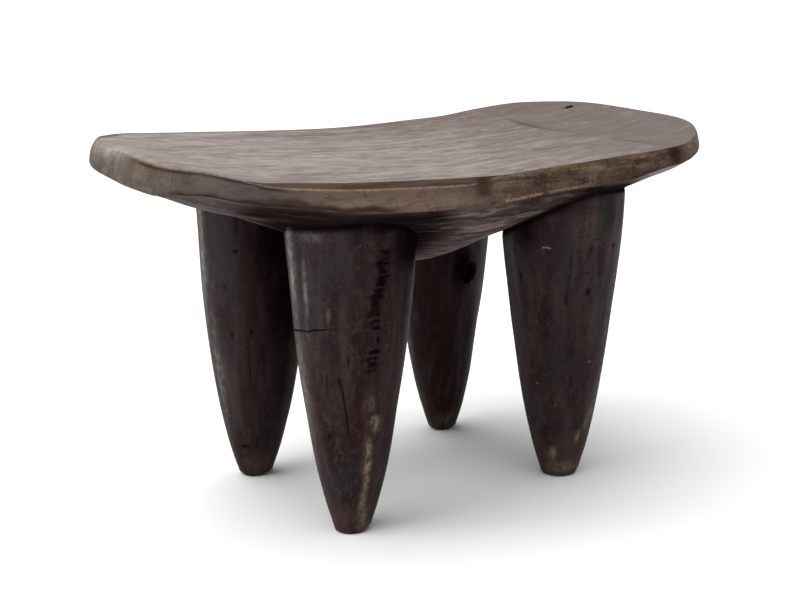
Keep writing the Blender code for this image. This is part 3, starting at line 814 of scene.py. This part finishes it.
def leg_marks(name, verts, around, below, side, seed):
    """Carves a leg's facets, cracks, pits and tears and returns its colour masks."""
    base = verts.copy()
    height = base[:, 2]
    radius = leg_radius(name, height)
    cx, cy = leg_centre(name, height)
    out_x = (base[:, 0] - cx) / LEG_OVAL ** 2
    out_y = (base[:, 1] - cy) * LEG_OVAL ** 2
    size = np.hypot(out_x, out_y) + 1e-9
    out_x /= size
    out_y /= size
    unrolled = np.column_stack([
        np.cos(np.radians(around)) * radius,
        np.sin(np.radians(around)) * radius,
        height,
    ])

    # long upright facets left by the knife, fading at the foot
    facet = layered(unrolled, (48, 48, 8), 3, seed)
    facet = np.tanh(facet * 1.6)
    swell = noise(unrolled, (16, 16, 12), seed + 3)
    push = (0.00065 * facet + 0.0005 * swell) * smooth(0.0, 0.03, height)
    # fine horizontal grain, because the block's grain runs along the seat
    push += 0.00010 * layered(base, (30, 260, 420), 2, seed + 7)

    rag = 0.55 * layered(unrolled, (160, 160, 120), 2, seed + 11)
    pits = blobs(PITS[name], around, height, radius, rag)
    push -= 0.0016 * pits

    dark = 0.95 * pits
    for half_w, depth, strength, path in CRACKS[name]:
        start = path[0][0]
        points = [(math.radians(turn(a, start)) * 0.05, h) for a, h in path]
        across = np.radians(turn(around, start)) * 0.05
        jitter = 0.0011 * layered(unrolled, (120, 120, 120), 2, seed + 23)
        dist, run = path_distance(across, height + jitter, points)
        ends = smooth(-0.001, 0.10, run) * (1 - smooth(0.62, 1.001, run) * 0.95)
        groove = (1 - smooth(half_w * 0.4, half_w * 1.9, dist)) * ends
        push -= depth * groove
        dark = np.maximum(dark, strength * groove)

    tear = np.zeros(len(height))
    if name == "leg_front_left":
        spine = [(0.2790, -88), (0.2650, -91), (0.2520, -90), (0.2360, -95), (0.2250, -99), (0.2080, -95),
                 (0.1950, -92), (0.1780, -98), (0.1660, -98)]
        heights = [p[0] for p in spine][::-1]
        angles = [p[1] for p in spine][::-1]
        centre = np.interp(height, heights, angles)
        across = np.radians(turn(around, centre)) * radius
        reach = 0.0080 + 0.0036 * noise(base, (1, 1, 330), seed + 29)
        reach = reach * (1 - 0.8 * np.exp(-((height - 0.196) / 0.010) ** 2))
        inside = (1 - smooth(0.35, 1.0, np.abs(across) / np.maximum(reach, 0.001)))
        inside = inside * smooth(0.158, 0.170, height) * (1 - smooth(0.272, 0.284, height))
        strokes = smooth(-0.55, 0.05, noise(unrolled, (90, 90, 430), seed + 31))
        tear = inside * (0.22 + 0.78 * strokes)
        push -= 0.0010 * tear
    dark = np.maximum(dark, 0.74 * tear)

    knot = np.zeros(len(height))
    if name == "leg_rear_right":
        across = np.radians(turn(around, KNOT_ANGLE)) * radius
        lift = height - KNOT_HEIGHT
        main = (across / 0.0068) ** 2 + (lift / 0.0092) ** 2
        tail = ((across + 0.0042) / 0.0052) ** 2 + ((lift + 0.0082) / 0.0050) ** 2
        main = main * (1 + 0.35 * noise(unrolled, (140, 140, 140), 77))
        knot = np.maximum(1 - smooth(0.62, 1.15, main), 0.8 * (1 - smooth(0.5, 1.1, tail)))
        push -= 0.0150 * knot
        # painted shade inside the knot hole
        dark = np.maximum(dark, smooth(0.0, 0.5, knot))

    # rolled-in shoulder just under the belly
    shoulder = np.exp(-(np.maximum(below, 0) / 0.0030) ** 2)
    push -= 0.0008 * shoulder

    verts[:, 0] += out_x * push * side
    verts[:, 1] += out_y * push * side

    streak = 0.5 + 0.5 * layered(unrolled, (150, 150, 14), 3, seed + 41)
    patch = 0.5 + 0.5 * layered(unrolled, (55, 55, 30), 3, seed + 43)
    gold = blobs(GOLD[name], around, height, radius, rag * 1.2)
    gold = gold * (0.35 + 0.9 * smooth(0.3, 0.75, streak))
    grey = blobs(GREY[name], around, height, radius, rag * 0.9) * (0.55 + 0.5 * smooth(0.25, 0.7, patch))
    red = blobs(RED[name], around, height, radius, rag * 0.8) * (0.5 + 0.5 * patch)
    slate = blobs(SLATE[name], around, height, radius, rag * 0.7) * (0.6 + 0.4 * patch)
    shadow = blobs(SHADOW[name], around, height, radius, rag * 0.5)

    scratch = np.zeros(len(height))
    for half_w, strength, path in SCRATCHES[name]:
        start = path[0][0]
        points = [(math.radians(turn(a, start)) * 0.055, h) for a, h in path]
        across = np.radians(turn(around, start)) * 0.055
        dist, run = path_distance(across, height, points)
        scratch = np.maximum(scratch, strength * (1 - smooth(half_w * 0.5, half_w * 1.6, dist)))
    return {
        "gold": gold * side,
        "grey": grey * side,
        "red": red * side,
        "slate": slate * side,
        "dark": dark * side,
        "shadow": shadow * side,
        "scratch": scratch * side,
        # painted shade where the leg runs up under the belly
        "crease": np.exp(-(np.maximum(below - 0.001, 0) / 0.0045) ** 2),
        "foot": np.exp(-(height / 0.030) ** 2),
    }


# ---------------------------------------------------------------- materials
class Shader:
    """Small helper for building a node material."""

    def __init__(self, name):
        """A new material with only its output and Principled nodes."""
        self.mat = bpy.data.materials.new(name)
        self.mat.use_nodes = True
        self.tree = self.mat.node_tree
        self.bsdf = self.tree.nodes["Principled BSDF"]
        self.coords = self.tree.nodes.new("ShaderNodeTexCoord").outputs["Object"]
        self.axes = self.tree.nodes.new("ShaderNodeSeparateXYZ")
        self.link(self.coords, self.axes.inputs["Vector"])

    def link(self, source, target):
        """Connect a socket, or set a plain value."""
        if isinstance(source, bpy.types.NodeSocket):
            self.tree.links.new(source, target)
        elif isinstance(source, (tuple, list)) and len(source) == 3 and len(target.default_value) == 4:
            target.default_value = (*source, 1.0)
        else:
            target.default_value = source

    def axis(self, letter):
        """A coordinate in metres: X, Y or Z."""
        return self.axes.outputs[letter]

    def noise(self, scale, detail=4.0, roughness=0.55, distortion=0.0, offset=(0, 0, 0), spin=0.0):
        """Noise stretched by a scale per axis, in features per metre, turned about Z by spin degrees."""
        vector = self.coords
        if spin:
            turned = self.tree.nodes.new("ShaderNodeMapping")
            turned.inputs["Rotation"].default_value = (0, 0, math.radians(spin))
            self.link(vector, turned.inputs["Vector"])
            vector = turned.outputs["Vector"]
        mapping = self.tree.nodes.new("ShaderNodeMapping")
        mapping.inputs["Scale"].default_value = scale
        mapping.inputs["Location"].default_value = offset
        self.link(vector, mapping.inputs["Vector"])
        node = self.tree.nodes.new("ShaderNodeTexNoise")
        node.inputs["Scale"].default_value = 1.0
        node.inputs["Detail"].default_value = detail
        node.inputs["Roughness"].default_value = roughness
        node.inputs["Distortion"].default_value = distortion
        self.link(mapping.outputs["Vector"], node.inputs["Vector"])
        return node.outputs["Fac"]

    def window(self, value, low, high, out_low=0.0, out_high=1.0):
        """Smooth remap of a value; low may be above high to run it backwards."""
        if low > high:
            low, high, out_low, out_high = high, low, out_high, out_low
        node = self.tree.nodes.new("ShaderNodeMapRange")
        node.interpolation_type = "SMOOTHSTEP"
        node.inputs["From Min"].default_value = low
        node.inputs["From Max"].default_value = high
        node.inputs["To Min"].default_value = out_low
        node.inputs["To Max"].default_value = out_high
        self.link(value, node.inputs["Value"])
        return node.outputs["Result"]

    def math(self, operation, a, b=0.0):
        """One math node."""
        node = self.tree.nodes.new("ShaderNodeMath")
        node.operation = operation
        self.link(a, node.inputs[0])
        self.link(b, node.inputs[1])
        return node.outputs[0]

    def times(self, *values):
        """Product of several values."""
        result = values[0]
        for value in values[1:]:
            result = self.math("MULTIPLY", result, value)
        return result

    def mix(self, factor, a, b, blend="MIX"):
        """Mix two colours through the colour sockets of a mix node."""
        node = self.tree.nodes.new("ShaderNodeMix")
        node.data_type = "RGBA"
        node.blend_type = blend
        node.clamp_factor = True
        self.link(factor, node.inputs[0])
        self.link(a, node.inputs[6])
        self.link(b, node.inputs[7])
        return node.outputs[2]

    def mask(self, name):
        """A mask stored on the mesh."""
        node = self.tree.nodes.new("ShaderNodeAttribute")
        node.attribute_name = name
        return node.outputs["Fac"]

    def spot(self, centre, half_length, half_width, spin):
        """1 at the middle of a small ellipse seen from above, 0 at its edge and beyond."""
        across = self.math("SUBTRACT", self.axis("X"), centre[0])
        back = self.math("SUBTRACT", self.axis("Y"), centre[1])
        ca, sa = math.cos(math.radians(spin)), math.sin(math.radians(spin))
        u = self.math("ADD", self.times(across, ca / half_length), self.times(back, sa / half_length))
        v = self.math("ADD", self.times(across, -sa / half_width), self.times(back, ca / half_width))
        far = self.math("ADD", self.times(u, u), self.times(v, v))
        return self.window(far, 1.0, 0.75)

    def bump(self, height, distance, strength=1.0, normal=None):
        """A bump from a height in 0..1 standing this many metres proud."""
        node = self.tree.nodes.new("ShaderNodeBump")
        node.inputs["Strength"].default_value = strength
        node.inputs["Distance"].default_value = distance
        self.link(height, node.inputs["Height"])
        if normal is not None:
            self.link(normal, node.inputs["Normal"])
        return node.outputs["Normal"]


def seat_material():
    """Grey worn top, brown rim with rubbed gold edges, dark tooled underside."""
    s = Shader("seat_wood")
    patch = s.noise((4, 9, 9), 4, 0.6)
    blotch = s.noise((26, 60, 60), 5, 0.65, 0.5)
    streak = s.noise((16, 105, 130), 5, 0.68, 0.4)
    fibre = s.noise((38, 290, 420), 4, 0.72, 0.3)
    grain_wide = s.noise((16, 105, 10), 5, 0.68, 0.4)
    grain_fine = s.noise((38, 290, 24), 4, 0.72, 0.3)
    ticks = s.noise((75, 260, 400), 2, 0.5, 0.0, (3, 1, 2))
    pore = s.noise((300, 380, 500), 2, 0.6, 0.0, (1, 5, 2))
    scratch_a = s.noise((11, 330, 3), 2, 0.5, 0.4, (2, 2, 0), 24)
    scratch_b = s.noise((13, 360, 3), 2, 0.5, 0.4, (7, 4, 0), -17)
    worn = s.noise((300, 420, 420), 3, 0.7, 0.0, (4, 4, 4))

    # the top: grey and dusty at the left, turning more brown toward the right end and the back edge; the
    # darkening toward the right end is partly painted shade
    top_pale = s.mix(s.window(patch, 0.36, 0.66), TOP_GREY, TOP_PALE)
    top = s.mix(s.window(blotch, 0.42, 0.72, 0.0, 0.55), top_pale, TOP_BROWN)
    browner_and_shaded = s.window(s.axis("X"), -0.12, 0.25, 0.0, 0.78)
    top = s.mix(browner_and_shaded, top, TOP_RIGHT_BROWN_AND_SHADE)
    back_edge = s.times(s.window(s.axis("Y"), 0.055, 0.130), s.window(s.axis("X"), -0.20, -0.02))
    top = s.mix(s.times(back_edge, s.window(blotch, 0.35, 0.6, 0.35, 0.85)), top, TOP_BACK_BROWN)
    darker = s.mix(0.62, top, TOP_STREAK_DARK)
    paler = s.mix(0.55, top, TOP_STREAK_LIGHT)
    calm = s.window(s.axis("X"), 0.05, 0.25, 1.0, 0.30)
    top = s.mix(s.times(s.window(grain_wide, 0.51, 0.64, 0.0, 0.75), calm), top, paler)
    top = s.mix(s.times(s.window(grain_wide, 0.48, 0.36, 0.0, 0.90), calm), top, darker)
    stain = s.noise((30, 62, 62), 5, 0.7, 0.6, (9, 2, 6))
    top = s.mix(s.window(stain, 0.55, 0.68, 0.0, 0.42), top, TOP_BROWN)
    top = s.mix(s.window(stain, 0.44, 0.34, 0.0, 0.30), top, TOP_STREAK_LIGHT)
    top = s.mix(s.times(s.window(grain_fine, 0.48, 0.36, 0.0, 0.80), calm), top, darker)
    top = s.mix(s.times(s.window(grain_fine, 0.54, 0.66, 0.0, 0.70), calm), top, paler)
    top = s.mix(s.window(ticks, 0.36, 0.28, 0.0, 0.60), top, TOP_TICK)
    top = s.mix(s.window(pore, 0.34, 0.27, 0.0, 0.45), top, TOP_TICK)
    left_part = s.window(s.axis("X"), -0.02, -0.16)
    top = s.mix(s.times(s.window(scratch_a, 0.64, 0.70, 0.0, 0.75), left_part), top, TOP_LIGHT_GRAIN)
    top = s.mix(s.times(s.window(scratch_a, 0.36, 0.30, 0.0, 0.5), left_part), top, TOP_BROWN)
    top = s.mix(s.times(s.window(stain, 0.52, 0.64, 0.0, 0.22), left_part), top, TOP_STREAK_DARK)
    not_right = s.window(s.axis("X"), 0.16, 0.04)
    top = s.mix(s.times(s.window(scratch_b, 0.69, 0.74, 0.0, 0.5), not_right), top, TOP_LIGHT_GRAIN)
    top = s.mix(s.window(scratch_b, 0.31, 0.26, 0.0, 0.5), top, TOP_STREAK_DARK)

    # the rim: olive grey at the left, purple brown in the middle, warm brown at the right
    rim_dark = s.mix(s.window(s.axis("X"), -0.287, -0.255), RIM_LEFT, RIM_MIDDLE)
    rim_dark = s.mix(s.window(s.axis("X"), -0.225, -0.175), rim_dark, RIM_CENTRE)
    rim_dark = s.mix(s.window(s.axis("X"), -0.10, 0.05), rim_dark, RIM_RIGHT)
    rim_pale = s.mix(s.window(s.axis("X"), -0.15, 0.0), RIM_PALE_LEFT, RIM_PALE)
    rim = s.mix(s.window(blotch, 0.38, 0.66, 0.0, 0.75), rim_dark, s.mix(0.5, rim_dark, rim_pale))
    rim = s.mix(s.window(streak, 0.50, 0.66, 0.0, 0.55), rim, s.mix(0.6, rim_dark, rim_pale))
    rim = s.mix(s.window(streak, 0.45, 0.30, 0.0, 0.55), rim, RIM_DARK)
    rim = s.mix(s.window(fibre, 0.44, 0.30, 0.0, 0.6), rim, RIM_DARK)
    rim = s.mix(s.window(worn, 0.56, 0.70, 0.0, 0.45), rim, rim_pale)
    handled = s.noise((48, 48, 80), 5, 0.7, 0.3, (6, 1, 3))
    uneven = s.window(s.axis("X"), -0.24, -0.18, 0.35, 1.0)
    rim = s.mix(s.times(s.window(handled, 0.47, 0.35, 0.0, 0.50), uneven), rim, RIM_DARK)
    rim = s.mix(s.times(s.window(handled, 0.53, 0.66, 0.0, 0.50), uneven), rim, rim_pale)

    # the underside: nearly black, with pale tool streaks running along the seat
    streaky = s.times(s.window(s.axis("X"), -0.11, -0.02, 0.35, 1.0),
                      s.window(s.axis("X"), 0.16, 0.06, 0.55, 1.0))
    under = s.mix(s.window(blotch, 0.35, 0.7), UNDER_DARK, UNDER_BASE)
    under = s.mix(s.times(s.window(streak, 0.48, 0.68, 0.0, 0.75), streaky), under, UNDER_STREAK)
    under = s.mix(s.times(s.window(fibre, 0.53, 0.68, 0.0, 0.45), streaky), under, UNDER_STREAK)
    under = s.mix(s.window(streak, 0.46, 0.34, 0.0, 0.55), under, UNDER_DARK)
    under = s.mix(s.window(fibre, 0.44, 0.32, 0.0, 0.40), under, UNDER_DARK)
    end_wood = s.mix(s.window(handled, 0.35, 0.65), UNDER_DARK, UNDER_END)
    under = s.mix(s.times(s.mask("end"), 0.8), under, end_wood)

    colour = s.mix(s.mask("belly"), rim, under)
    colour = s.mix(s.mask("top"), colour, top)
    edge_brown = s.mix(s.window(worn, 0.40, 0.60), EDGE_BROWN, EDGE_GOLD)
    colour = s.mix(s.times(s.mask("edge"), 0.50), colour, edge_brown)
    bevel_brown = s.mix(s.window(streak, 0.40, 0.60), BEVEL_DEEP, BEVEL_BROWN)
    colour = s.mix(s.times(s.mask("bevel"), 0.85), colour, bevel_brown)
    # pale grey on the rim's right end at the front, and painted reflection along the belly's edge there
    colour = s.mix(s.mask("pale"), colour, END_GREY)
    flecked = s.window(worn, 0.34, 0.58, 0.22, 1.0)
    gold = s.times(s.mask("gold"), flecked, s.window(fibre, 0.32, 0.56, 0.55, 1.0))
    gold_tone = s.mix(s.window(s.axis("X"), -0.02, 0.12), RUBBED_GOLD, RUBBED_TAN)
    colour = s.mix(gold, colour, gold_tone)
    colour = s.mix(s.mask("dark"), colour, DEEP_BROWN)
    # painted shade on the facet beyond the step, and painted shadow along it
    colour = s.mix(s.times(s.mask("shade"), 0.60), colour, TOP_SHADE)
    colour = s.mix(s.times(s.mask("line"), s.window(worn, 0.3, 0.6, 0.45, 0.85)), colour, TOP_TICK)
    # painted shade in the leg shoulders and under the rim's lip
    colour = s.mix(s.mask("crease"), colour, UNDER_PAINTED_SHADE)
    # painted shade: the hole in the top painted nearly black
    hole = s.times(s.spot(HOLE_CENTRE, HOLE_HALF_LENGTH, HOLE_HALF_WIDTH, HOLE_SPIN), s.mask("top"))
    colour = s.mix(hole, colour, HOLE_BLACK)
    s.link(colour, s.bsdf.inputs["Base Color"])

    rough = s.window(streak, 0.3, 0.7, 0.62, 0.80)
    s.link(rough, s.bsdf.inputs["Roughness"])
    dull = s.math("MAXIMUM", s.mask("dark"), s.mask("crease"))
    s.link(s.window(dull, 0.0, 0.8, 0.15, 0.0), s.bsdf.inputs["Specular IOR Level"])
    normal = s.bump(streak, 0.0004, 0.4)
    normal = s.bump(fibre, 0.0002, 0.6, normal)
    normal = s.bump(blotch, 0.0008, 0.35, normal)
    normal = s.bump(worn, 0.0003, 0.5, normal)
    s.link(normal, s.bsdf.inputs["Normal"])
    return s.mat


def leg_material(name, base_dark, base_light, offset, mottling, foot_wear, gloss=0.50):
    """Near-black handled patina with upright knife streaks and horizontal grain."""
    s = Shader(name + "_wood")
    patch = s.noise((24, 24, 15), 4, 0.6, 0.6, offset)
    tint = s.noise((34, 34, 20), 3, 0.6, 0.8, tuple(v + 3.7 for v in offset))
    streak = s.noise((62, 62, 7), 3, 0.55, 0.4, offset)
    hair = s.noise((190, 190, 14), 3, 0.6, 0.3, offset)
    grain = s.noise((16, 420, 620), 3, 0.65, 0.2, offset)
    speck = s.noise((480, 480, 360), 2, 0.5, 0.0, offset)
    mottle = s.noise((190, 190, 120), 5, 0.66, 0.1, offset)
    blot = s.noise((330, 330, 210), 3, 0.6, 0.1, offset)

    colour = s.mix(s.window(patch, 0.36, 0.66), base_dark, base_light)
    colour = s.mix(s.window(tint, 0.52, 0.68, 0.0, 0.55), colour, LEG_GREEN_GREY)
    colour = s.mix(s.window(tint, 0.46, 0.32, 0.0, 0.60), colour, LEG_RED)
    colour = s.mix(s.window(streak, 0.50, 0.66, 0.0, 0.50), colour, LEG_STREAK)
    colour = s.mix(s.window(streak, 0.48, 0.34, 0.0, 0.50), colour, LEG_BLACK)
    colour = s.mix(s.window(hair, 0.54, 0.70, 0.0, 0.22), colour, LEG_STREAK)
    colour = s.mix(s.window(hair, 0.46, 0.32, 0.0, 0.28), colour, LEG_BLACK)
    colour = s.mix(s.window(mottle, 0.50, 0.68, 0.0, mottling), colour, LEG_MOTTLE)
    colour = s.mix(s.window(mottle, 0.46, 0.34, 0.0, 0.40), colour, LEG_BLACK)
    colour = s.mix(s.window(blot, 0.60, 0.72, 0.0, 0.20), colour, LEG_MOTTLE)
    colour = s.mix(s.window(grain, 0.42, 0.30, 0.0, 0.40), colour, LEG_BLACK)
    high = s.window(s.axis("Z"), 0.17, 0.26, 0.12, 0.50)
    colour = s.mix(s.times(s.window(grain, 0.58, 0.68), high), colour, LEG_MOTTLE)
    ragged = s.window(mottle, 0.36, 0.58, 0.25, 1.0)
    colour = s.mix(s.times(s.mask("slate"), 0.8), colour, LEG_SLATE)
    # painted sheen on the lit leg edges, and pale dust
    colour = s.mix(s.times(s.mask("grey"), ragged), colour, LEG_DUST_AND_SHEEN)
    colour = s.mix(s.times(s.mask("red"), 0.75), colour, LEG_DEEP_RED)
    brown = s.times(s.mask("foot"), s.window(patch, 0.3, 0.65, 0.2, 0.8), foot_wear)
    colour = s.mix(brown, colour, LEG_FOOT)
    colour = s.mix(s.times(s.mask("gold"), s.window(blot, 0.30, 0.58, 0.15, 1.0)), colour, LEG_GOLD)
    colour = s.mix(s.window(speck, 0.73, 0.79, 0.0, 0.5), colour, LEG_SPECK)
    colour = s.mix(s.mask("shadow"), colour, LEG_NIGHT)
    # dark pits, cracks and tear, and painted shade inside the knot hole
    colour = s.mix(s.mask("dark"), colour, LEG_PIT)
    # painted shade where the leg runs up under the belly
    colour = s.mix(s.times(s.mask("crease"), 0.8), colour, LEG_PIT)
    colour = s.mix(s.mask("scratch"), colour, LEG_SCRATCH)
    s.link(colour, s.bsdf.inputs["Base Color"])

    rough = s.window(mottle, 0.3, 0.7, gloss - 0.08, gloss + 0.12)
    s.link(rough, s.bsdf.inputs["Roughness"])
    dull = s.math("MAXIMUM", s.mask("dark"), s.math("MAXIMUM", s.mask("shadow"), s.mask("crease")))
    s.link(s.window(dull, 0.0, 0.8, 0.06, 0.0), s.bsdf.inputs["Specular IOR Level"])
    normal = s.bump(patch, 0.0012, 0.4)
    normal = s.bump(streak, 0.0006, 0.6, normal)
    normal = s.bump(grain, 0.00022, 0.7, normal)
    normal = s.bump(mottle, 0.0005, 0.6, normal)
    s.link(normal, s.bsdf.inputs["Normal"])
    return s.mat


# ---------------------------------------------------------------- build
seat = build_seat()
seat.data.materials.append(seat_material())
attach(seat, "root")
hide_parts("seat")

# mesh columns and rows, seed, dark and light tones, noise offset, mottling, wear at the foot
LEG_LOOKS = {
    "leg_front_left": (400, 360, 101, (0.012, 0.0050, 0.0052), (0.027, 0.0145, 0.0145),
                       (1.3, 0.2, 0.7), 0.55, 0.6),
    "leg_front_right": (400, 360, 202, (0.014, 0.0066, 0.0066), (0.030, 0.0170, 0.0170),
                        (5.1, 3.3, 2.9), 0.45, 1.0),
    "leg_rear_left": (300, 260, 303, (0.010, 0.0040, 0.0040), (0.022, 0.0120, 0.0115),
                      (8.4, 6.1, 4.2), 0.35, 0.12),
    "leg_rear_right": (300, 260, 404, (0.009, 0.0022, 0.0020), (0.017, 0.0048, 0.0045),
                       (2.6, 9.7, 7.5), 0.16, 0.5),
}
for leg_name, looks in LEG_LOOKS.items():
    columns, rows_count, seed, tone_dark, tone_light, offset, mottling, foot_wear = looks
    leg = build_leg(leg_name, columns, rows_count, seed)
    leg.data.materials.append(leg_material(leg_name, tone_dark, tone_light, offset, mottling, foot_wear))
    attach(leg, "root")
    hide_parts(leg_name)

# ---------------------------------------------------------------- studio
floor_mesh = bpy.data.meshes.new("studio_floor")
floor_mesh.from_pydata([(-30, -30, 0), (30, -30, 0), (30, 30, 0), (-30, 30, 0)], [], [(0, 1, 2, 3)])
floor = bpy.data.objects.new("studio_floor", floor_mesh)
bpy.context.scene.collection.objects.link(floor)
floor_look = Shader("studio_floor")
floor_look.bsdf.inputs["Base Color"].default_value = (0.90, 0.90, 0.90, 1)
floor_look.bsdf.inputs["Roughness"].default_value = 0.9
floor_look.bsdf.inputs["Specular IOR Level"].default_value = 0.0
floor_mesh.materials.append(floor_look.mat)


def area_light(name, location, target, size, power):
    """A square softbox aimed at a point."""
    data = bpy.data.lights.new(name, "AREA")
    data.shape = "SQUARE"
    data.size = size
    data.energy = power
    light = bpy.data.objects.new(name, data)
    light.visible_camera = False
    light.location = location
    dx, dy, dz = (target[k] - location[k] for k in range(3))
    light.rotation_euler = (math.atan2(math.hypot(dx, dy), -dz), 0, math.atan2(dy, dx) - math.pi / 2)
    bpy.context.scene.collection.objects.link(light)
    return light


area_light("softbox_left", (-1.45, 0.25, 0.72), (-0.1, 0, 0.25), 1.1, 13)

sky = bpy.data.lights.new("overhead_diffuser", "SUN")
sky.energy = 3.3
sky.angle = math.radians(75)
overhead = bpy.data.objects.new("overhead_diffuser", sky)
overhead.rotation_euler = (math.radians(-8), math.radians(-10), 0)
bpy.context.scene.collection.objects.link(overhead)

world = bpy.data.worlds.new("studio")
world.use_nodes = True
world.node_tree.nodes["Background"].inputs["Color"].default_value = (1, 1, 1, 1)
world.node_tree.nodes["Background"].inputs["Strength"].default_value = 0.36
bpy.context.scene.world = world
bpy.context.scene.view_settings.view_transform = "Standard"

# ---------------------------------------------------------------- camera
camera_data = bpy.data.cameras.new("camera")
camera_data.sensor_width = 36.0
camera_data.lens = 63.83
camera = bpy.data.objects.new("camera", camera_data)
camera.location = (-0.77309, -1.13093, 0.54125)
camera.rotation_euler = (math.radians(90 - 14.475), 0, math.radians(-33.93))
bpy.context.scene.collection.objects.link(camera)
bpy.context.scene.camera = camera
